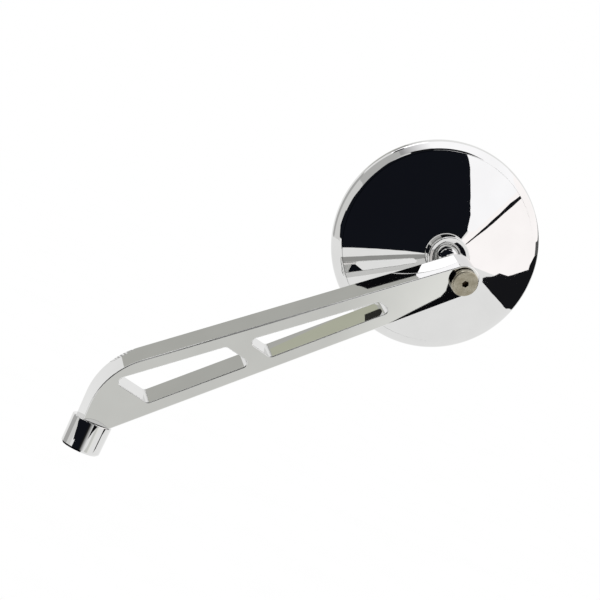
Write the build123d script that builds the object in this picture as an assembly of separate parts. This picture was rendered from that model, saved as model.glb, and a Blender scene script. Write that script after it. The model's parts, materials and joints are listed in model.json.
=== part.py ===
from build123d import *
from math import cos, hypot, radians, sin, sqrt, tan
import os

# Motorcycle mirror, in millimetres and degrees. The origin is the centre of the boss's end face and
# +Z goes up the boss. The stem's blade is drawn upright in the XZ plane, reaching to +X, with the back of
# the head towards -Y and its glass towards +Y, and is turned on the boss with all that it carries.

# Stem: a flat tapered blade with two slots, bent into a round threaded boss
boss_end_diameter = 18.8
boss_height = 14.5
boss_cover = 0.7             # boss radius beyond the corners of the neck
boss_end_chamfer = 1.0
boss_shoulder_radius = 0.5
thread_hole_diameter = 8.8   # tapping hole of a 10 mm fine thread
thread_depth = 13.0
thread_mouth_chamfer = 0.4
neck_foot = 1.7              # neck below the boss's shoulder
bend_height = 0.35           # boss's shoulder up to the blade's inner bend
blade_lean = 15.0            # upright blade turned on the boss about X, its top towards -Y
blade_turn = 6.0             # and about Y, its eye upwards
stem_rise = 39.0             # centreline above the horizontal
stem_reach = 171.5           # bend to eye, along the centreline
stem_thickness = 13.2
eye_radius = 7.6
blade_taper = 2.35           # each long edge against the centreline
neck_width = 12.6
outer_bend_radius = 35.0
inner_bend_radius = 1.5
stem_edge_radius = 0.5
rail_width = 5.7             # metal beside the slots
eye_to_slot = 37.4           # eye to the outer slot, along the centreline
outer_slot_length = 61.2
bridge_width = 9.2           # metal between the slots, along the centreline
bend_to_slot = 11.9          # bend to the inner slot, along the centreline
slot_slant = 34.0            # ends of the slots against square ends
slot_corner_radius = 2.3
slot_edge_radius = 0.4

# Ball stud, its screw and washer at the eye
ball_diameter = 13.0
ball_distance = 14.8         # back face of the stem to the ball's centre
stud_neck_diameter = 6.0
shoulder_diameter = 10.4
shoulder_height = 3.0
shoulder_cone = 2.0          # length of the cone from shoulder to neck
shank_diameter = 8.2
shank_length = 9.0
shank_clearance = 0.1
shank_end_gap = 0.6
screw_diameter = 5.0
screw_clearance = 0.3        # radial, through the stem and the washer
thread_clearance = 0.1       # radial, tapped hole or nut round a plain thread
screw_engagement = 6.0
screw_end_gap = 1.0
screw_head_diameter = 12.8
screw_head_height = 2.6
screw_head_radius = 0.9
socket_across_flats = 3.0
socket_depth = 1.7
washer_diameter = 9.6
washer_thickness = 0.8
washer_split = 1.2

# Ball socket: collar, liners, seat and springs
joint_gap = 0.2              # ball to liners, liners and seat to their walls
liner_wall = 0.7
liner_lead = 0.3             # ball's equator to the lower face of the front liner
liner_setback = 1.0          # front liner behind the collar's mouth, as an angle
rear_liner_angle = 40.0      # half angle of the dished pad
mouth_angle = 55.0           # half angle of the collar's mouth, seen from the ball's centre
pot_wall = 0.9               # under the collar's thread
pot_body_wall = 2.2          # inside the head
pot_floor = 2.0
collar_wall = 1.3
collar_lip = 1.8
collar_skirt = 3.0           # collar behind the ball's centre
collar_edge_radius = 0.7
collar_groove_depth = 0.5
collar_groove_width = 1.0
collar_groove_drop = 2.4     # top face to the groove
seat_floor = 2.0
seat_rim = 4.0               # ball's centre to the rim of the spring seat
disc_count = 3
disc_thickness = 0.8
disc_dish = 0.6
disc_bore = 7.2
disc_gap = 0.05

# Head: conical shell, rim and glass
head_diameter = 102.0
cone_slope = 28.3
cone_margin = 0.2            # cone's upper edge outside the collar
shell_wall = 2.2
bead_radius = 4.5            # round section of the rim
rim_bevel = 45.0             # slope of the rim's conical back
bezel_wall = 1.0
stack_gap = 0.1              # between the pieces stacked inside the rim
flange_grip = 0.95           # flange in front of the rim's back lip
flange_thickness = 2.6
flange_seat = 3.5            # width of the seat for the plate
plate_thickness = 0.8
plate_margin = 1.0           # plate inside the flange's edge
foam_thickness = 1.0         # at its edge
foam_margin = 1.0            # foam inside the gasket
glass_thickness = 2.0
glass_curvature = 1200.0     # radius of the convex glass
gasket_wall = 0.7
gasket_lip = 1.8             # overlap on the glass
glass_gap = 0.05             # glass to the foam and the gasket

# Rest pose of the head on its ball
head_tilt = 11.0             # back of the head turned up from the blade's front
head_yaw = -10.0             # and sideways, away from the eye

# Places worked out from these sizes
rise = radians(stem_rise)
taper = radians(blade_taper)
mouth = radians(mouth_angle)
slope = tan(radians(cone_slope))
bevel = radians(rim_bevel)
stem_back = stem_thickness / 2
eye_x = stem_reach * cos(rise)
lower_rise = rise + taper
eye_to_bend = (eye_x - neck_width / 2) * tan(lower_rise) + eye_radius / cos(lower_rise)
eye_z = boss_height + bend_height + eye_to_bend
ball_y = stem_back + ball_distance
ball_radius = ball_diameter / 2
liner_inner = ball_radius + joint_gap
liner_outer = liner_inner + liner_wall
liner_edge = mouth + radians(liner_setback)
liner_top = liner_inner * cos(liner_edge)
pot_bore = liner_outer + joint_gap
pot_thread = pot_bore + pot_wall
collar_bore = pot_thread + thread_clearance
collar_radius = collar_bore + collar_wall
collar_under = liner_inner * cos(mouth)
collar_top = collar_under + collar_lip
seat_sphere = liner_outer + joint_gap
seat_back = seat_sphere + seat_floor
disc_pitch = disc_thickness + disc_dish + disc_gap
pot_bottom = seat_back + disc_count * disc_pitch + disc_gap
cone_top = collar_radius + cone_margin
bead_centre = head_diameter / 2 - bead_radius
bead_inner = bead_radius - bezel_wall
bead_plane = collar_skirt + (bead_centre - cone_top) * slope + bead_radius / cos(bevel)
flange_back = bead_plane - bead_inner / cos(bevel) + flange_grip
flange_radius = bead_centre + flange_grip / tan(bevel) - stack_gap / sin(bevel)
flange_front = flange_back + flange_thickness
plate_front = flange_front + plate_thickness
glass_back = plate_front + foam_thickness
glass_front = glass_back + glass_thickness
gasket_front = glass_front + gasket_wall
gasket_back = glass_back - gasket_wall
gasket_radius = bead_centre + sqrt(bead_inner ** 2 - (gasket_front - bead_plane) ** 2) - stack_gap
glass_radius = gasket_radius - gasket_wall


def on_blade(along, across):
    """Point of the XZ plane from a place along the centreline, 0 at the eye, and a distance above it."""
    x = eye_x + along * cos(rise) - across * sin(rise)
    z = eye_z + along * sin(rise) + across * cos(rise)
    return (x, z)


def edge_at_x(side, x):
    """Point at x on the blade's upper (side 1) or lower (side -1) long edge."""
    edge_rise = rise - side * taper
    return (x, eye_z + (x - eye_x) * tan(edge_rise) + side * eye_radius / cos(edge_rise))


def slot_corner(place, side):
    """Corner on the upper or lower rail of a slanted slot end that crosses the centreline at a place."""
    half = (eye_radius - rail_width) / cos(taper)
    lead = side * tan(radians(slot_slant))
    along = (place - half * lead) / (1 - tan(taper) * lead)
    return on_blade(along, side * (half - along * tan(taper)))


def rounded_at(face, point, radius):
    """The face with its corner nearest to the point rounded."""
    return fillet(face.vertices().sort_by_distance((*point, 0))[0], radius)


def blade_face():
    """Outline of the flat blade, with its neck reaching down into the boss."""
    lead = eye_radius * sin(taper)
    side = eye_radius * cos(taper)
    top = on_blade(lead, side)
    nose = on_blade(eye_radius, 0)
    bottom = on_blade(lead, -side)
    half_neck = neck_width / 2
    foot = boss_height - neck_foot
    outer = edge_at_x(1, -half_neck)
    inner = edge_at_x(-1, half_neck)
    sides = Polyline(top, outer, (-half_neck, foot), (half_neck, foot), inner, bottom)
    face = make_face((sides + ThreePointArc(bottom, nose, top)).edges())
    face = rounded_at(face, outer, outer_bend_radius)
    return rounded_at(face, inner, inner_bend_radius)


def slot_face(start, end):
    """Slot between two places on the centreline, with slanted ends and rounded corners."""
    corners = [slot_corner(start, 1), slot_corner(end, 1), slot_corner(end, -1), slot_corner(start, -1)]
    face = make_face(Polyline(*corners, close=True))
    return fillet(face.vertices(), slot_corner_radius)


def spin(*edges):
    """Solid of revolution about Y, from the closed edges of a section with its radius along X."""
    return revolve(make_face(edges), Axis.Y)


def ring_section(*points):
    """Solid of revolution about Y, from the corners of a section."""
    return spin(Polyline(*points, close=True))


def on_boss(solid):
    """A solid of the upright blade, turned with it on the boss's shoulder."""
    shoulder = Pos(0, 0, boss_height) * Rot(blade_lean, 0, 0) * Rot(0, -blade_turn, 0)
    return shoulder * Pos(0, 0, -boss_height) * solid


def at_eye(solid):
    """A solid made round the Y axis, moved to the axis of the stem's eye."""
    return on_boss(Pos(eye_x, 0, eye_z) * solid)


def at_ball(solid):
    """A solid made round the Y axis with the ball's centre at 0, moved to the ball and turned sideways."""
    return on_boss(Pos(eye_x, ball_y, eye_z) * Rot(0, 0, head_yaw) * solid)


def on_head(solid):
    """A solid made round the Y axis with the ball's centre at 0, moved to the head's rest pose."""
    return at_ball(Rot(-head_tilt, 0, 0) * solid)


def make_stem():
    """Slotted blade and boss in one piece, with its edges rounded and its two bores."""
    outer_slot_end = -eye_to_slot - outer_slot_length
    face = blade_face()
    face -= slot_face(-eye_to_slot, outer_slot_end)
    face -= slot_face(outer_slot_end - bridge_width, bend_to_slot - stem_reach)
    blade = extrude(Plane.XZ * face, stem_back, both=True)
    by_depth = blade.faces().filter_by(Axis.Y).sort_by(Axis.Y)
    slot_edges = [wire.edges() for side in (by_depth[0], by_depth[-1]) for wire in side.inner_wires()]
    blade = fillet(slot_edges, slot_edge_radius)
    by_depth = blade.faces().filter_by(Axis.Y).sort_by(Axis.Y)
    blade = fillet([side.outer_wire().edges() for side in (by_depth[0], by_depth[-1])], stem_edge_radius)

    corner = hypot(neck_width / 2 - stem_edge_radius, stem_back - stem_edge_radius)
    boss_top = corner + stem_edge_radius + boss_cover
    boss_end = boss_end_diameter / 2
    section = make_face(Polyline(
        (0, 0), (boss_end - boss_end_chamfer, 0), (boss_end, boss_end_chamfer),
        (boss_top, boss_height), (0, boss_height), close=True,
    ))
    section = rounded_at(section, (boss_top, boss_height), boss_shoulder_radius)
    stem = on_boss(blade) + revolve(Plane.XZ * section, Axis.Z)

    hole = thread_hole_diameter / 2
    hole_section = Polyline(
        (0, 0), (hole + thread_mouth_chamfer, 0), (hole, thread_mouth_chamfer),
        (hole, thread_depth), (0, thread_depth), close=True,
    )
    stem -= revolve(Plane.XZ * make_face(hole_section), Axis.Z)

    shank_bore = shank_diameter / 2 + shank_clearance
    screw_bore = screw_diameter / 2 + screw_clearance
    shank_floor = stem_back - shank_length - shank_end_gap
    stem -= at_eye(ring_section(
        (0, stem_back), (shank_bore, stem_back), (shank_bore, shank_floor),
        (screw_bore, shank_floor), (screw_bore, -stem_back), (0, -stem_back),
    ))
    return stem


def make_ball_stud():
    """Ball on a neck, with a shoulder against the stem and a tapped shank in its eye."""
    shank = shank_diameter / 2
    neck = stud_neck_diameter / 2
    shoulder = shoulder_diameter / 2
    shank_end = stem_back - shank_length
    shoulder_top = stem_back + shoulder_height
    stud = ring_section(
        (0, shank_end), (shank, shank_end), (shank, stem_back), (shoulder, stem_back),
        (shoulder, shoulder_top), (neck, shoulder_top + shoulder_cone), (neck, ball_y), (0, ball_y),
    )
    stud += Pos(0, ball_y, 0) * Rot(-90, 0, 0) * Sphere(ball_radius)
    thread = screw_diameter / 2 + thread_clearance
    tapped_end = shank_end + screw_engagement + screw_end_gap
    stud -= ring_section((0, shank_end), (thread, shank_end), (thread, tapped_end), (0, tapped_end))
    return at_eye(stud)


def make_pivot_screw():
    """Large-headed socket screw from the stem's front into the stud's shank."""
    head = screw_head_diameter / 2
    thread = screw_diameter / 2
    head_back = -stem_back - washer_thickness
    head_front = head_back - screw_head_height
    thread_end = stem_back - shank_length + screw_engagement
    section = make_face(Polyline(
        (0, head_front), (head, head_front), (head, head_back), (thread, head_back),
        (thread, thread_end), (0, thread_end), close=True,
    ))
    section = rounded_at(section, (head, head_front), screw_head_radius)
    screw = revolve(section, Axis.Y)
    socket_plane = Plane(origin=(0, head_front, 0), x_dir=(1, 0, 0), z_dir=(0, 1, 0))
    hexagon = RegularPolygon(socket_across_flats / 2, 6, major_radius=False)
    screw -= extrude(socket_plane * hexagon, socket_depth)
    return at_eye(screw)


def make_lock_washer():
    """Split spring washer under the screw's head."""
    bore = screw_diameter / 2 + screw_clearance
    rim = washer_diameter / 2
    back = -stem_back
    front = back - washer_thickness
    washer = ring_section((bore, front), (rim, front), (rim, back), (bore, back))
    washer -= Pos(0, (front + back) / 2, -rim) * Box(washer_split, washer_thickness, washer_diameter)
    return at_eye(washer)


def make_ball_collar():
    """Ring nut with a conical mouth, screwed over the pot's neck to hold the ball."""
    section = make_face(Polyline(
        (collar_under * tan(mouth), -collar_under), (collar_top * tan(mouth), -collar_top),
        (collar_radius, -collar_top), (collar_radius, collar_skirt), (collar_bore, collar_skirt),
        (collar_bore, -collar_under), close=True,
    ))
    section = rounded_at(section, (collar_radius, -collar_top), collar_edge_radius)
    collar = revolve(section, Axis.Y)
    groove_start = -collar_top + collar_groove_drop
    groove_end = groove_start + collar_groove_width
    groove_floor = collar_radius - collar_groove_depth
    collar -= ring_section(
        (groove_floor, groove_start), (collar_radius, groove_start),
        (collar_radius, groove_end), (groove_floor, groove_end),
    )
    return on_head(collar)


def make_front_liner():
    """Plastic ring between the ball and the collar."""
    lead_radius = sqrt(liner_inner ** 2 - liner_lead ** 2)
    middle = (liner_edge + radians(90)) / 2
    top = (liner_inner * sin(liner_edge), -liner_top)
    waist = (liner_inner * sin(middle), -liner_inner * cos(middle))
    low = (lead_radius, -liner_lead)
    sides = Polyline(low, (liner_outer, -liner_lead), (liner_outer, -liner_top), top)
    return on_head(spin(ThreePointArc(top, waist, low), sides))


def make_rear_liner():
    """Dished plastic pad between the ball and the spring seat, level with the stud."""
    edge = radians(rear_liner_angle)

    def on_sphere(radius, angle):
        return (radius * sin(angle), radius * cos(angle))

    outer = [on_sphere(liner_outer, angle) for angle in (0, edge / 2, edge)]
    inner = [on_sphere(liner_inner, angle) for angle in (0, edge / 2, edge)]
    pad = spin(
        ThreePointArc(*outer), Line(outer[2], inner[2]), ThreePointArc(*inner), Line(inner[0], outer[0]),
    )
    return at_ball(pad)


def make_spring_seat():
    """Steel cup that presses the rear liner on the ball."""
    seat_radius = pot_bore - joint_gap
    rim_radius = sqrt(seat_sphere ** 2 - seat_rim ** 2)
    middle = sqrt(seat_sphere ** 2 - (rim_radius / 2) ** 2)
    dish = ThreePointArc((0, seat_sphere), (rim_radius / 2, middle), (rim_radius, seat_rim))
    sides = Polyline(
        (rim_radius, seat_rim), (seat_radius, seat_rim), (seat_radius, seat_back), (0, seat_back),
        (0, seat_sphere),
    )
    return on_head(spin(dish, sides))


def make_disc_springs():
    """Dished spring washers stacked face to face and back to back in the pot."""
    bore = disc_bore / 2
    rim = pot_bore - 2 * joint_gap
    discs = []
    for index in range(disc_count):
        start = seat_back + disc_gap + index * disc_pitch
        bore_lift = disc_dish * (index % 2)
        rim_lift = disc_dish - bore_lift
        discs.append(ring_section(
            (bore, start + bore_lift), (rim, start + rim_lift),
            (rim, start + rim_lift + disc_thickness), (bore, start + bore_lift + disc_thickness),
        ))
    return on_head(Compound([disc.solid() for disc in discs]))


def make_housing():
    """Conical shell with the ball's pot at its tip and a flange inside the rim."""
    pot_top = -collar_under + joint_gap
    pot_back = pot_bottom + pot_floor
    pot_body = pot_bore + pot_body_wall
    step = bead_centre - stack_gap
    seat_inner = flange_radius - flange_seat
    wall_depth = shell_wall / cos(radians(cone_slope))

    def on_cone(radius, depth):
        return (radius, collar_skirt + (radius - cone_top) * slope + depth)

    return on_head(ring_section(
        (pot_bore, pot_top), (pot_thread, pot_top), (pot_thread, collar_skirt), on_cone(cone_top, 0),
        on_cone(step, 0), (step, flange_back), (flange_radius, flange_back), (flange_radius, flange_front),
        (seat_inner, flange_front), on_cone(seat_inner, wall_depth), on_cone(pot_body, wall_depth),
        (pot_body, pot_back), (0, pot_back), (0, pot_bottom), (pot_bore, pot_bottom),
    ))


def make_rim_bezel():
    """Chrome ring with a conical back and a round front, rolled over the flange and the edge of the glass."""
    def wall_side(radius):
        back = (bead_centre, bead_plane - radius / cos(bevel))
        shoulder = (bead_centre + radius * sin(bevel), bead_plane - radius * cos(bevel))
        front = (bead_centre, bead_plane + radius)
        return [Line(back, shoulder), ThreePointArc(shoulder, (bead_centre + radius, bead_plane), front)]

    outer = wall_side(bead_radius)
    inner = wall_side(bead_inner)
    lips = [Line(outer[0] @ 0, inner[0] @ 0), Line(outer[1] @ 1, inner[1] @ 1)]
    return on_head(spin(*outer, *inner, *lips))


def glass_arc(edge_place, radius):
    """Shallow arc of the convex glass from the axis out to a radius, its outer end at edge_place."""
    def bulge(place):
        return sqrt(glass_curvature ** 2 - place ** 2) - sqrt(glass_curvature ** 2 - glass_radius ** 2)

    return ThreePointArc(*[(place, edge_place + bulge(place)) for place in (0, radius / 2, radius)])


def make_backing_plate():
    """Thin disc on the housing's flange."""
    radius = flange_radius - plate_margin
    return on_head(ring_section(
        (0, flange_front), (radius, flange_front), (radius, plate_front), (0, plate_front),
    ))


def make_foam_pad():
    """Pad between the plate and the curved glass."""
    radius = glass_radius - gasket_lip - foam_margin
    front = glass_arc(glass_back - glass_gap, radius)
    sides = Polyline(front @ 1, (radius, plate_front), (0, plate_front), front @ 0)
    return on_head(spin(front, sides))


def make_mirror_glass():
    """Convex mirror glass."""
    front = glass_arc(glass_front, glass_radius)
    back = glass_arc(glass_back, glass_radius)
    return on_head(spin(front, back, Line(front @ 0, back @ 0), Line(front @ 1, back @ 1)))


def make_glass_gasket():
    """Rubber channel round the edge of the glass."""
    lip = glass_radius - gasket_lip
    channel = glass_radius + glass_gap
    front = glass_arc(glass_front + glass_gap, lip) @ 1
    back = glass_arc(glass_back - glass_gap, lip) @ 1
    return on_head(ring_section(
        (lip, gasket_back), (gasket_radius, gasket_back), (gasket_radius, gasket_front + glass_gap),
        (lip, gasket_front + glass_gap), (front.X, front.Y), (channel, glass_front + glass_gap),
        (channel, glass_back - glass_gap), (back.X, back.Y),
    ))


pieces = {
    "stem": make_stem,
    "ball_stud": make_ball_stud,
    "pivot_screw": make_pivot_screw,
    "lock_washer": make_lock_washer,
    "ball_collar": make_ball_collar,
    "front_liner": make_front_liner,
    "rear_liner": make_rear_liner,
    "spring_seat": make_spring_seat,
    "disc_springs": make_disc_springs,
    "housing": make_housing,
    "rim_bezel": make_rim_bezel,
    "backing_plate": make_backing_plate,
    "foam_pad": make_foam_pad,
    "mirror_glass": make_mirror_glass,
    "glass_gasket": make_glass_gasket,
}

os.makedirs("parts", exist_ok=True)
for name, make in pieces.items():
    solid = make()
    solid.label = name
    export_step(solid, f"parts/{name}.step")
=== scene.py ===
import bpy
import json
from math import cos, radians, sin, sqrt, tau
from mathutils import Matrix, Vector


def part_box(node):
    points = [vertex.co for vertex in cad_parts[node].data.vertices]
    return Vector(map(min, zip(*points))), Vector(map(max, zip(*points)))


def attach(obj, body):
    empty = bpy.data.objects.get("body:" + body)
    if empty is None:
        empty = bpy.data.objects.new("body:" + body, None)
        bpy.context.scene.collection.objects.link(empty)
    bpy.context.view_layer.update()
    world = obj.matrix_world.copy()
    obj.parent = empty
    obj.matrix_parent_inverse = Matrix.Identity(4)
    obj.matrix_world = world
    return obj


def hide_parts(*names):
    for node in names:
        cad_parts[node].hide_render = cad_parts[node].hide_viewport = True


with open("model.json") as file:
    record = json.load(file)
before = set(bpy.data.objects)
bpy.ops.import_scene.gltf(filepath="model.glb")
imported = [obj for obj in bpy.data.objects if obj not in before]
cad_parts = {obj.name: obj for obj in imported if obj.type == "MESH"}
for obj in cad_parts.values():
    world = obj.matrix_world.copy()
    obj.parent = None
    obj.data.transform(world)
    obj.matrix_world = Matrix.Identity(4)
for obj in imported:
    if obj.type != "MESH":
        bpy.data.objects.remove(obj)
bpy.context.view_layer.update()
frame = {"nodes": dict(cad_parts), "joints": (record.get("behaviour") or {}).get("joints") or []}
nodes = frame["nodes"]
mm = 0.001


def boxCentre(node):
    low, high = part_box(node)
    return (low + high) / 2


# The blade leans on its boss by two turns, and the head faces along the axis of its spin
bladeLean, bladeSwing = radians(15), radians(-6)
bladeTurn = Matrix.Rotation(bladeLean, 3, "X") @ Matrix.Rotation(bladeSwing, 3, "Y")
headCentre = boxCentre("housing")
headSpin = next(joint for joint in frame["joints"] if joint["name"] == "head_spin")
headPivot = Vector(headSpin["pos_m"])
glassAxis = Vector(headSpin["axis"]).normalized()
print("frame loaded:", len(nodes), "nodes")


# Small helpers for the materials' nodes

def newMaterial(name):
    material = bpy.data.materials.new(name)
    material.use_nodes = True
    tree = material.node_tree
    shader = tree.nodes["Principled BSDF"]
    return material, tree, shader


def addNode(tree, kind, **values):
    node = tree.nodes.new(kind)
    for key, value in values.items():
        if key in node.inputs:
            node.inputs[key].default_value = value
        else:
            setattr(node, key, value)
    return node


def objectCoords(tree, centre=(0, 0, 0), axis=None):
    coords = addNode(tree, "ShaderNodeTexCoord")
    mapping = addNode(tree, "ShaderNodeMapping", vector_type="TEXTURE", Location=centre)
    if axis is not None:  # local Z of the pattern goes along the axis
        mapping.inputs["Rotation"].default_value = axis.to_track_quat("Z", "Y").to_euler()
    tree.links.new(coords.outputs["Object"], mapping.inputs["Vector"])
    return mapping.outputs["Vector"]


def splitPlace(tree, place):
    split = addNode(tree, "ShaderNodeSeparateXYZ")
    tree.links.new(place, split.inputs["Vector"])
    return split.outputs["X"], split.outputs["Y"], split.outputs["Z"]


def distanceFromAxis(tree, place):
    flat = addNode(tree, "ShaderNodeVectorMath", operation="MULTIPLY")
    flat.inputs[1].default_value = (1, 1, 0)
    tree.links.new(place, flat.inputs[0])
    length = addNode(tree, "ShaderNodeVectorMath", operation="LENGTH")
    tree.links.new(flat.outputs["Vector"], length.inputs[0])
    return length.outputs["Value"]


def noise(tree, place, scale, detail=3.0, rough=0.5):
    node = addNode(tree, "ShaderNodeTexNoise", Scale=scale, Detail=detail, Roughness=rough)
    tree.links.new(place, node.inputs["Vector"])
    return node.outputs["Fac"]


def ramp(tree, value, *stops):
    node = addNode(tree, "ShaderNodeValToRGB")
    for element, (place, colour) in zip(node.color_ramp.elements, stops):
        element.position = place
        element.color = (*colour, 1)
    tree.links.new(value, node.inputs["Fac"])
    return node.outputs["Color"]


def mottle(tree, shader, value, first, second, low=0.3, high=0.7):
    # base colour that goes from one to the other as the value climbs
    tree.links.new(ramp(tree, value, (low, first), (high, second)), shader.inputs["Base Color"])


def span(tree, value, low, high, start=0.0, end=1.0, kind="LINEAR"):
    node = addNode(tree, "ShaderNodeMapRange", interpolation_type=kind)
    for socket, level in (("From Min", start), ("From Max", end), ("To Min", low), ("To Max", high)):
        node.inputs[socket].default_value = level
    tree.links.new(value, node.inputs["Value"])
    return node.outputs["Result"]


def step(tree, value, start, end):
    return span(tree, value, 0.0, 1.0, start, end, "SMOOTHSTEP")


def combine(tree, kind, first, second):
    node = addNode(tree, "ShaderNodeMath", operation=kind)
    for socket, value in zip(node.inputs, (first, second)):
        if isinstance(value, (int, float)):
            socket.default_value = value
        else:
            tree.links.new(value, socket)
    return node.outputs["Value"]


def inverse(tree, value):
    return combine(tree, "SUBTRACT", 1.0, value)


def bump(tree, shader, value, strength, height):
    node = addNode(tree, "ShaderNodeBump", Strength=strength, Distance=height)
    tree.links.new(value, node.inputs["Height"])
    tree.links.new(node.outputs["Normal"], shader.inputs["Normal"])
    return node


def grey(level, tint=(1, 1, 1)):
    return tuple(level * part for part in tint)


def dress(material, *names):
    for name in names:
        nodes[name].data.materials.clear()
        nodes[name].data.materials.append(material)


# Chrome: a faint haze, smears in the gloss and a slow wave; the stem's also has the thread of its boss

chromeLook = {"dark": 0.70, "light": 0.73, "tint": (1.0, 1.0, 0.99), "hazeScale": 60.0,
              "smearScale": 90.0, "smearDetail": 5.0, "roughLow": 0.004, "roughHigh": 0.014,
              "waveScale": 26.0, "waveDetail": 1.0, "waveStrength": 0.5, "waveHeight": 0.012 * mm}
stemLook = {**chromeLook, "threadPitch": 1.25 * mm, "threadDepth": 0.4 * mm, "threadReach": 4.7 * mm,
            "threadFade": 0.2 * mm}


def chromeFinish(name, look):
    material, tree, shader = newMaterial(name)
    shader.inputs["Metallic"].default_value = 1
    place = objectCoords(tree)
    haze = noise(tree, place, look["hazeScale"])
    mottle(tree, shader, haze, grey(look["dark"], look["tint"]), grey(look["light"], look["tint"]))
    smear = noise(tree, place, look["smearScale"], look["smearDetail"])
    tree.links.new(span(tree, smear, look["roughLow"], look["roughHigh"]), shader.inputs["Roughness"])
    wave = noise(tree, place, look["waveScale"], look["waveDetail"])
    waves = bump(tree, shader, wave, look["waveStrength"], look["waveHeight"])
    if "threadPitch" in look:
        thread = bump(tree, shader, threadGroove(tree, place, look), 1.0, 2 * look["threadDepth"])
        tree.links.new(waves.outputs["Normal"], thread.inputs["Normal"])
    return material


def threadGroove(tree, place, look):
    # a vee that climbs one pitch each turn, on the wall of the hole alone
    x, y, z = splitPlace(tree, place)
    turn = combine(tree, "DIVIDE", combine(tree, "ARCTAN2", y, x), tau)
    climb = combine(tree, "SUBTRACT", combine(tree, "DIVIDE", z, look["threadPitch"]), turn)
    vee = combine(tree, "PINGPONG", climb, 0.5)
    reach = look["threadReach"]
    inHole = step(tree, distanceFromAxis(tree, place), reach, reach - look["threadFade"])
    return combine(tree, "MULTIPLY", vee, inHole)


chrome = chromeFinish("polishedChrome", chromeLook)
dress(chrome, "ball_stud", "ball_collar", "housing", "rim_bezel")
dress(chromeFinish("threadedChrome", stemLook), "stem")


# Screw: tan steel with turning rings on its face, a polished side wall and painted shade in the socket

screwLook = {"dark": (0.27, 0.24, 0.175), "light": (0.45, 0.42, 0.34), "paintedSocketShade": (0.030, 0.020, 0.012),
             "ringPitch": 0.55 * mm, "ringShare": 0.18, "ringStrength": 0.25, "ringHeight": 0.02 * mm,
             "stainScale": 420.0, "stainDetail": 4.0, "toneLow": 0.25, "toneHigh": 0.75,
             "socketRadius": 2.5 * mm, "socketEdge": 0.2 * mm, "faceDepth": 0.2 * mm, "wallDepth": 0.5 * mm,
             "rough": 0.38, "roughSwing": 0.08, "wallPolish": 0.85}
screwCentre = boxCentre("pivot_screw")
screwAxis = bladeTurn @ Vector((0, -1, 0))  # out of the stem's front
screwFront = max((nodes["pivot_screw"].matrix_world @ v.co - screwCentre).dot(screwAxis)
                 for v in nodes["pivot_screw"].data.vertices)


def mixColours(tree, share, first, second):
    node = addNode(tree, "ShaderNodeMix", data_type="RGBA")
    tree.links.new(share, node.inputs["Factor"])
    tree.links.new(first, node.inputs["A"])
    node.inputs["B"].default_value = (*second, 1)
    return node.outputs["Result"]


def turnedFinish(name, look, centre, axis, front):
    material, tree, shader = newMaterial(name)
    shader.inputs["Metallic"].default_value = 1
    place = objectCoords(tree, centre, axis)
    radius = distanceFromAxis(tree, place)
    rings = combine(tree, "SINE", combine(tree, "MULTIPLY", radius, tau / look["ringPitch"]), 0.0)
    stain = noise(tree, place, look["stainScale"], look["stainDetail"])
    tone = combine(tree, "ADD", combine(tree, "MULTIPLY", rings, look["ringShare"]), stain)
    steel = ramp(tree, tone, (look["toneLow"], look["dark"]), (look["toneHigh"], look["light"]))
    # below the face lie the socket, near the axis, and the side wall, away from it
    inner = inverse(tree, step(tree, radius, look["socketRadius"] - look["socketEdge"], look["socketRadius"]))
    depth = combine(tree, "SUBTRACT", front, splitPlace(tree, place)[2])
    below = step(tree, depth, look["faceDepth"], look["wallDepth"])
    socket = combine(tree, "MULTIPLY", inner, below)
    wall = combine(tree, "MULTIPLY", below, inverse(tree, inner))
    # the socket's inside is painted near black: painted shade in the recess
    tree.links.new(mixColours(tree, socket, steel, look["paintedSocketShade"]), shader.inputs["Base Color"])
    rough = span(tree, stain, look["rough"] - look["roughSwing"], look["rough"] + look["roughSwing"])
    polish = inverse(tree, combine(tree, "MULTIPLY", wall, look["wallPolish"]))
    tree.links.new(combine(tree, "MULTIPLY", rough, polish), shader.inputs["Roughness"])
    bump(tree, shader, rings, look["ringStrength"], look["ringHeight"])
    return material


dress(turnedFinish("turnedSteel", screwLook, screwCentre, screwAxis, screwFront), "pivot_screw")


# Spring steel: washer, seat and disc springs

springLook = {"dark": (0.10, 0.10, 0.105), "light": (0.19, 0.19, 0.195), "rough": 0.36, "roughSwing": 0.1,
              "grainScale": 700.0, "grainDetail": 6.0, "grainRough": 0.65, "grainStrength": 0.3,
              "grainHeight": 0.01 * mm}


def steelFinish(name, look):
    material, tree, shader = newMaterial(name)
    shader.inputs["Metallic"].default_value = 1
    grain = noise(tree, objectCoords(tree), look["grainScale"], look["grainDetail"], look["grainRough"])
    mottle(tree, shader, grain, look["dark"], look["light"])
    rough = span(tree, grain, look["rough"] - look["roughSwing"], look["rough"] + look["roughSwing"])
    tree.links.new(rough, shader.inputs["Roughness"])
    bump(tree, shader, grain, look["grainStrength"], look["grainHeight"])
    return material


dress(steelFinish("springSteel", springLook), "lock_washer", "spring_seat", "disc_springs")


# Primer and rubber: one grain gives the tone and the bumps

plateLook = {"dark": (0.010, 0.010, 0.011), "light": (0.019, 0.019, 0.020), "rough": 0.5,
             "grainScale": 900.0, "grainDetail": 2.0, "grainStrength": 0.4, "grainHeight": 0.03 * mm}
rubberLook = {"dark": (0.006, 0.006, 0.006), "light": (0.013, 0.013, 0.013), "rough": 0.62,
              "grainScale": 500.0, "grainDetail": 4.0, "grainStrength": 0.3, "grainHeight": 0.03 * mm}


def grainFinish(name, look):
    material, tree, shader = newMaterial(name)
    shader.inputs["Roughness"].default_value = look["rough"]
    grain = noise(tree, objectCoords(tree), look["grainScale"], look["grainDetail"])
    mottle(tree, shader, grain, look["dark"], look["light"])
    bump(tree, shader, grain, look["grainStrength"], look["grainHeight"])
    return material


dress(grainFinish("blackPrimer", plateLook), "backing_plate")
dress(grainFinish("blackRubber", rubberLook), "glass_gasket")


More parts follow.
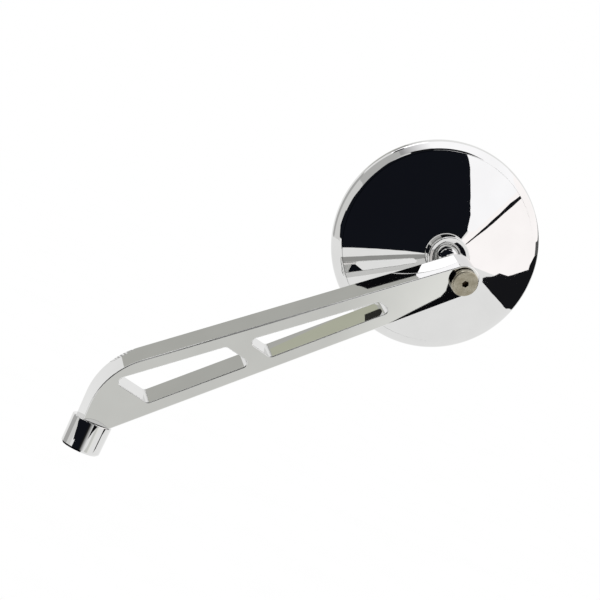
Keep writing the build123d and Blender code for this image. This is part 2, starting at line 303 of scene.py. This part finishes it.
# Acetal liners: cloudy, with a finer grain in the bumps

linerLook = {"dark": (0.70, 0.69, 0.62), "light": (0.78, 0.77, 0.71), "rough": 0.42,
             "cloudScale": 120.0, "cloudDetail": 4.0, "grainScale": 900.0, "grainStrength": 0.2,
             "grainHeight": 0.02 * mm}


def plasticFinish(name, look):
    material, tree, shader = newMaterial(name)
    shader.inputs["Roughness"].default_value = look["rough"]
    place = objectCoords(tree)
    cloud = noise(tree, place, look["cloudScale"], look["cloudDetail"])
    mottle(tree, shader, cloud, look["dark"], look["light"])
    bump(tree, shader, noise(tree, place, look["grainScale"]), look["grainStrength"], look["grainHeight"])
    return material


dress(plasticFinish("whiteAcetal", linerLook), "front_liner", "rear_liner")


# Foam pad: small closed cells, pale at their walls

foamLook = {"dark": (0.014, 0.014, 0.016), "light": (0.035, 0.035, 0.038), "rough": 0.95, "cellScale": 900.0,
            "cellWall": 0.8, "cellStrength": 0.6, "cellHeight": 0.2 * mm}


def foamFinish(name, look):
    material, tree, shader = newMaterial(name)
    shader.inputs["Roughness"].default_value = look["rough"]
    cells = addNode(tree, "ShaderNodeTexVoronoi", Scale=look["cellScale"])
    tree.links.new(objectCoords(tree), cells.inputs["Vector"])
    mottle(tree, shader, cells.outputs["Distance"], look["dark"], look["light"], 0.0, look["cellWall"])
    bump(tree, shader, cells.outputs["Distance"], look["cellStrength"], look["cellHeight"])
    return material


dress(foamFinish("closedFoam", foamLook), "foam_pad")


# Mirror glass: silvered, with a little dust under a clear coat

glassLook = {"dark": 0.85, "light": 0.88, "tint": (0.97, 1.0, 1.01), "dustScale": 140.0, "dustDetail": 5.0,
             "dustLow": 0.35, "dustHigh": 0.75, "roughLow": 0.0, "roughHigh": 0.012, "coat": 0.6}


def glassFinish(name, look):
    material, tree, shader = newMaterial(name)
    shader.inputs["Metallic"].default_value = 1
    dust = noise(tree, objectCoords(tree), look["dustScale"], look["dustDetail"])
    clean, dusty = grey(look["light"], look["tint"]), grey(look["dark"], look["tint"])
    mottle(tree, shader, dust, clean, dusty, look["dustLow"], look["dustHigh"])
    tree.links.new(span(tree, dust, look["roughLow"], look["roughHigh"]), shader.inputs["Roughness"])
    shader.inputs["Coat Weight"].default_value = look["coat"]
    shader.inputs["Coat Roughness"].default_value = 0.0
    return material


silvered = glassFinish("silveredGlass", glassLook)
dress(silvered, "mirror_glass")
print("materials done")


# Spun pieces: a section of (radius, height along the glass's axis), turned once round that axis

spinning = {"steps": 320, "weld": 0.002 * mm, "smoothAngle": radians(30)}


def spinSection(name, section, material):
    outward = glassAxis.orthogonal().normalized()
    points = [headPivot + outward * radius + glassAxis * height for radius, height in section]
    bpy.ops.object.select_all(action="DESELECT")
    bpy.ops.mesh.primitive_plane_add(size=mm)
    spun = bpy.context.object
    spun.name = name
    bpy.ops.object.mode_set(mode="EDIT")
    bpy.ops.mesh.select_all(action="SELECT")
    bpy.ops.mesh.merge(type="CENTER")  # one point, drawn along the section
    bpy.ops.transform.translate(value=points[0])
    for last, point in zip(points, points[1:]):
        bpy.ops.mesh.extrude_region_move(TRANSFORM_OT_translate={"value": point - last})
    bpy.ops.mesh.select_all(action="SELECT")
    bpy.ops.mesh.remove_doubles(threshold=spinning["weld"])
    bpy.ops.mesh.select_all(action="SELECT")
    bpy.ops.mesh.spin(steps=spinning["steps"], angle=tau, center=headPivot, axis=glassAxis)
    bpy.ops.mesh.select_all(action="SELECT")
    bpy.ops.mesh.remove_doubles(threshold=spinning["weld"])
    bpy.ops.mesh.normals_make_consistent(inside=False)
    bpy.ops.object.mode_set(mode="OBJECT")
    bpy.ops.object.shade_smooth_by_angle(angle=spinning["smoothAngle"])
    spun.data.materials.append(material)
    return spun


# Rim: the bezel's ring, with the inner edge of its back rolled down to the cone

bezel = {"beadCentre": (46.5 * mm, 28.96 * mm), "beadRadius": 4.5 * mm, "wall": 1.0 * mm, "beadSteps": 30,
         "bandAngle": radians(-45), "rollWidth": 2.3 * mm, "rollLean": 0.312, "rollSteps": 16}


def bezelSection(size):
    middle, height = size["beadCentre"]
    start, end = size["bandAngle"], tau / 4

    def bead(radius):
        angles = [start + (end - start) * i / size["beadSteps"] for i in range(size["beadSteps"] + 1)]
        return [(middle + radius * cos(angle), height + radius * sin(angle)) for angle in angles]

    outer, inner = bead(size["beadRadius"]), bead(size["beadRadius"] - size["wall"])
    # the band runs straight in from the bead, and then rolls over
    startRadius, startHeight = outer[0]
    straight = startRadius - middle - size["rollWidth"]
    section = [(startRadius - straight * share, startHeight - straight * share) for share in (0, 0.5, 1)]
    pace = size["rollWidth"] / size["rollSteps"]
    for i in range(size["rollSteps"]):
        lean = size["rollLean"] * ((i + 0.5) / size["rollSteps"]) ** 2  # tangent of the turn off the band
        radius, height = section[-1]
        section.append((radius - pace, height - pace * (1 - lean) / (1 + lean)))
    section.append((middle, inner[0][1] - (inner[0][0] - middle)))  # inside of the wall
    return section + inner + outer[::-1]


rolledBezel = spinSection("rolledBezel", bezelSection(bezel), chrome)
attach(rolledBezel, "head")
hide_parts("rim_bezel")
print("rim done:", len(rolledBezel.data.polygons), "faces")


# Glass: the same disc spun afresh, because the CAD mesh shades wrongly round its middle

glass = {"radius": 47.325 * mm, "backEdge": 29.364 * mm, "thickness": 2.0 * mm, "curve": 1.2, "arcSteps": 12}


def glassSection(size):
    # from the axis out along the back, and home along the front
    radii = [size["radius"] * i / size["arcSteps"] for i in range(size["arcSteps"] + 1)]
    rises = [sqrt(size["curve"] ** 2 - radius ** 2) for radius in radii]
    back = [(radius, size["backEdge"] + rise - rises[-1]) for radius, rise in zip(radii, rises)]
    return back + [(radius, height + size["thickness"]) for radius, height in back[::-1]]


convexGlass = spinSection("convexGlass", glassSection(glass), silvered)
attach(convexGlass, "head")
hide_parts("mirror_glass")
print("glass done:", len(convexGlass.data.polygons), "faces")


# Stage: pale floor and air

stage = {"floorSize": 40.0, "floorLevel": -0.95, "airLevel": 1.0, "paperGrey": 0.9, "paperSpread": 0.004,
         "paperRough": 0.9, "paperGlow": 0.1, "fibreScale": 4.0}
white = (1.0, 1.0, 1.0)


def paperFinish(name, look):
    material, tree, shader = newMaterial(name)
    shader.inputs["Roughness"].default_value = look["paperRough"]
    shader.inputs["Specular IOR Level"].default_value = 0.0
    shader.inputs["Emission Color"].default_value = (*white, 1)
    shader.inputs["Emission Strength"].default_value = look["paperGlow"]
    fibre = noise(tree, objectCoords(tree), look["fibreScale"])
    dark, light = look["paperGrey"] - look["paperSpread"], look["paperGrey"] + look["paperSpread"]
    mottle(tree, shader, fibre, grey(dark), grey(light))
    return material


bpy.ops.object.select_all(action="DESELECT")
bpy.ops.mesh.primitive_plane_add(size=stage["floorSize"], location=(0, 0, stage["floorLevel"]))
floor = bpy.context.object
floor.name = "floor"
floor.data.materials.append(paperFinish("palePaper", stage))

world = bpy.data.worlds.new("studioAir")
bpy.context.scene.world = world
world.use_nodes = True
air = world.node_tree.nodes["Background"]
air.inputs["Color"].default_value = (*white, 1)
air.inputs["Strength"].default_value = stage["airLevel"]
print("floor and air done")


# Cards: panels and flags that only the polish sees. They are in metres from the head's middle and
# square to the blade: x along it to the head, -y to the camera's side, z up.

coolWhite, pinkWhite, paleWhite = (0.985, 0.98, 1.0), (1.0, 0.965, 0.965), (1.0, 1.0, 0.99)
greenWhite, mossWhite = (1.0, 1.005, 0.97), (1.0, 1.005, 0.95)
olive, sand = (1.0, 1.02, 0.82), (1.0, 1.0, 0.9)
softBlack, blueBlack, deepBlack = (0.01, 0.01, 0.012), (0.007, 0.008, 0.012), (0.004, 0.004, 0.005)


def flat(axis, place, *outline):
    # corners square to one axis, from the outline on the other two
    index = "xyz".index(axis)
    return [(*corner[:index], place, *corner[index:]) for corner in outline]


def oblong(axis, place, first, second):
    # four corners, from the spans along the other two axes
    (left, right), (low, high) = first, second
    return flat(axis, place, (left, low), (right, low), (right, high), (left, high))


cards = {
    # over the part
    "overheadPanel": {"colour": coolWhite, "strength": 1.32, "corners": flat(
        "z", 1.0, (-0.3, -0.41), (0.1, -0.478), (0.305, -0.537), (0.454, -0.576), (0.625, -0.632),
        (0.93, -0.72), (0.93, 0.6), (-0.3, 0.6))},
    "overheadFade": {"colour": coolWhite, "strength": 0.42, "fade": (-0.75, -0.3, 1.32),
                     "corners": oblong("z", 1.0, (-0.8, -0.3), (-0.02, 0.4))},
    "zenithFlag": {"colour": softBlack, "strength": 1.0, "corners": flat(
        "z", 0.97, (-0.6, -0.05), (-0.6, -0.33), (0.05, -0.43), (0.29, -0.34), (0.1, -0.12))},
    "seamFlag": {"colour": softBlack, "strength": 1.0, "corners": flat(
        "z", 0.98, (1.035, -0.635), (1.104, -0.727), (1.229, -0.84), (1.33, -0.915), (1.32, -0.93),
        (1.211, -0.856), (1.072, -0.757), (0.995, -0.675))},
    # beyond the head
    "sidePanel": {"colour": pinkWhite, "strength": 1.32,
                  "corners": oblong("x", 1.25, (-1.3, 0.6), (-0.12, 1.7))},
    "sideFlag": {"colour": softBlack, "strength": 1.0, "corners": flat(
        "x", 1.2, (-0.575, 0.115), (-0.6745, -0.2276), (-0.694, -0.32), (-0.69, -0.365), (-0.6748, -0.405),
        (0.35, -0.5), (0.35, 0.06), (-0.5, 0.115))},
    "rimFlag": {"colour": white, "strength": 0.12,
                "corners": oblong("x", 1.22, (0.1, 0.9), (-0.2, 0.22))},
    # beyond the boss
    "leftFlag": {"colour": blueBlack, "strength": 1.0, "corners": flat(
        "x", -1.3, (-0.75, -0.08), (-0.15, -0.08), (-0.16, 0.17), (-0.26, 0.35), (-0.3, 0.9), (-0.24, 1.13),
        (-0.38, 1.45), (-0.6, 2.3), (-0.75, 2.3))},
    "leftHighGrey": {"colour": paleWhite, "strength": 0.56,
                     "corners": oblong("x", -1.35, (-0.3, 0.6), (0.45, 2.6))},
    "leftPale": {"colour": paleWhite, "strength": 0.8,
                 "corners": oblong("x", -1.36, (-0.3, 0.6), (-0.62, 0.46))},
    "leftGrey": {"colour": paleWhite, "strength": 0.5, "corners": flat(
        "x", -1.2, (0.22, -0.62), (1.2, -0.9), (1.2, 0.45), (0.22, 0.45))},
    # on the camera's side
    "frontFlag": {"colour": blueBlack, "strength": 1.0, "corners": flat(
        "y", -1.0, (-1.95, -0.75), (-1.3, -0.61), (-1.15, -0.385), (-0.525, -0.25), (-0.525, 0.4),
        (-1.95, 0.4))},
    "highFlag": {"colour": blueBlack, "strength": 1.0, "corners": flat(
        "y", -1.0, (-1.95, 0.4), (-0.525, 0.4), (1.1, 1.6), (1.1, 2.3), (-1.95, 3.2))},
    "wedgeFlag": {"colour": deepBlack, "strength": 1.0, "corners": flat(
        "y", -0.98, (0.385, -0.393), (0.4344, -0.3355), (0.4366, -0.328), (0.4327, -0.3034),
        (0.4555, -0.3034), (0.4555, -0.6), (0.385, -0.6))},
    "frontShade": {"colour": white, "strength": 0.015, "fade": (-0.42, -0.07, 0.95),
                   "corners": oblong("y", -1.01, (-0.6, -0.07), (-0.25, 0.06))},
    "frontGrey": {"colour": greenWhite, "strength": 0.74, "fade": (0.36, 0.46, 1.0),
                  "corners": oblong("y", -1.02, (-0.3, 0.6), (-0.85, -0.1))},
    # behind the part
    "backGrey": {"colour": mossWhite, "strength": 0.52,
                 "corners": oblong("y", 1.02, (-0.8, -0.05), (0.15, 0.62))},
    "backOlive": {"colour": olive, "strength": 0.53, "corners": flat(
        "y", 1.015, (-0.4567, 0.4006), (-0.3535, 0.478), (-0.3672, 0.4996), (-0.4672, 0.4146))},
    "slotFlag": {"colour": sand, "strength": 0.03, "corners": flat(
        "y", 1.01, (-0.3705, 0.4745), (-0.3575, 0.485), (-0.352, 0.4995), (-0.372, 0.5), (-0.381, 0.4815))},
    "backFlag": {"colour": deepBlack, "strength": 1.0, "corners": flat(
        "y", 1.0, (-0.2765, 0.47), (-0.2765, 0.5085), (-0.2745, 0.5125), (-0.2725, 0.5205), (-0.2295, 0.5535),
        (-0.226, 0.549), (-0.226, 0.47))},
    "backLight": {"colour": coolWhite, "strength": 1.3, "corners": flat(
        "y", 1.005, (-0.226, 0.48), (-0.226, 0.549), (-0.231, 0.556), (-0.231, 0.62), (-0.15, 0.62),
        (-0.15, 0.48))},
    "backHighFlag": {"colour": deepBlack, "strength": 1.0,
                     "corners": oblong("y", 1.0, (-0.7, -0.3), (0.64, 0.85))},
    "backSideFlag": {"colour": deepBlack, "strength": 1.0, "corners": flat(
        "x", -0.6, (0.27, 0.62), (0.6, 0.7), (0.6, 0.893), (0.27, 0.893))},
    "backPanel": {"colour": coolWhite, "strength": 2.0, "corners": (  # slanted
        (-0.95, 0.55, 1.0), (-0.3, 0.35, 1.25), (-0.3, 0.85, 1.25), (-0.95, 1.05, 1.0))},
    # close in: for the rim, the screw's side and the boss's end
    "rimShade": {"colour": blueBlack, "strength": 1.0, "corners": flat(
        "x", -0.35, (-0.24, -0.02), (-0.011, -0.02), (-0.011, -0.09), (-0.05, -0.136), (-0.12, -0.129),
        (-0.24, -0.104))},
    "screwFlag": {"colour": deepBlack, "strength": 1.0,
                  "corners": oblong("y", -0.2, (-0.135, -0.035), (-0.115, -0.012))},
    "bossFlag": {"colour": deepBlack, "strength": 1.0,
                 "corners": oblong("z", -0.14, (-0.1535, -0.1405), (-0.056, -0.029))},
}


def cardLight(name, card):
    material = bpy.data.materials.new(name)
    material.use_nodes = True
    tree = material.node_tree
    tree.nodes.clear()
    light = addNode(tree, "ShaderNodeEmission", Color=(*card["colour"], 1), Strength=card["strength"])
    if "fade" in card:  # from one place to another along the blade, up to another strength
        start, end, farStrength = card["fade"]
        turn = addNode(tree, "ShaderNodeVectorRotate", rotation_type="EULER_XYZ", invert=True)
        turn.inputs["Rotation"].default_value = bladeTurn.to_euler()
        tree.links.new(objectCoords(tree, headCentre), turn.inputs["Vector"])
        along = splitPlace(tree, turn.outputs["Vector"])[0]
        tree.links.new(span(tree, along, card["strength"], farStrength, start, end), light.inputs["Strength"])
    out = addNode(tree, "ShaderNodeOutputMaterial")
    tree.links.new(light.outputs["Emission"], out.inputs["Surface"])
    return material


def addCard(name, card):
    bpy.ops.object.select_all(action="DESELECT")
    bpy.ops.mesh.primitive_circle_add(vertices=len(card["corners"]), fill_type="NGON")
    sheet = bpy.context.object
    sheet.name = name
    for vertex, corner in zip(sheet.data.vertices, card["corners"]):
        vertex.co = headCentre + bladeTurn @ Vector(corner)
    sheet.data.update()
    sheet.data.materials.append(cardLight(name, card))
    sheet.visible_camera = False
    sheet.visible_diffuse = False
    sheet.visible_shadow = False


for name, card in cards.items():
    addCard(name, card)
print("cards done:", len(cards))


# Camera at the photo's view

view = {"azimuth": radians(-22.42), "elevation": radians(3.26), "roll": radians(25.106), "distance": 0.9,
        "frameWidth": 0.274, "aim": Vector((0.05953, -0.01981, 0.10426)), "clip": (0.01, 100)}


def placeCamera():
    azimuth, elevation, roll = view["azimuth"], view["elevation"], view["roll"]
    back = Vector((sin(azimuth) * cos(elevation), -cos(azimuth) * cos(elevation), sin(elevation)))
    level = Vector((cos(azimuth), sin(azimuth), 0))
    rise = back.cross(level)
    right = level * cos(roll) + rise * sin(roll)
    up = back.cross(right)
    optics = bpy.data.cameras.new("photoCamera")
    optics.lens = optics.sensor_width * view["distance"] / view["frameWidth"]
    optics.clip_start, optics.clip_end = view["clip"]
    camera = bpy.data.objects.new("photoCamera", optics)
    bpy.context.scene.collection.objects.link(camera)
    turned = Matrix((right, up, back)).transposed().to_4x4()
    camera.matrix_world = Matrix.Translation(view["aim"] + back * view["distance"]) @ turned
    bpy.context.scene.camera = camera


placeCamera()
bpy.context.scene.view_settings.view_transform = "Standard"
print("camera set")
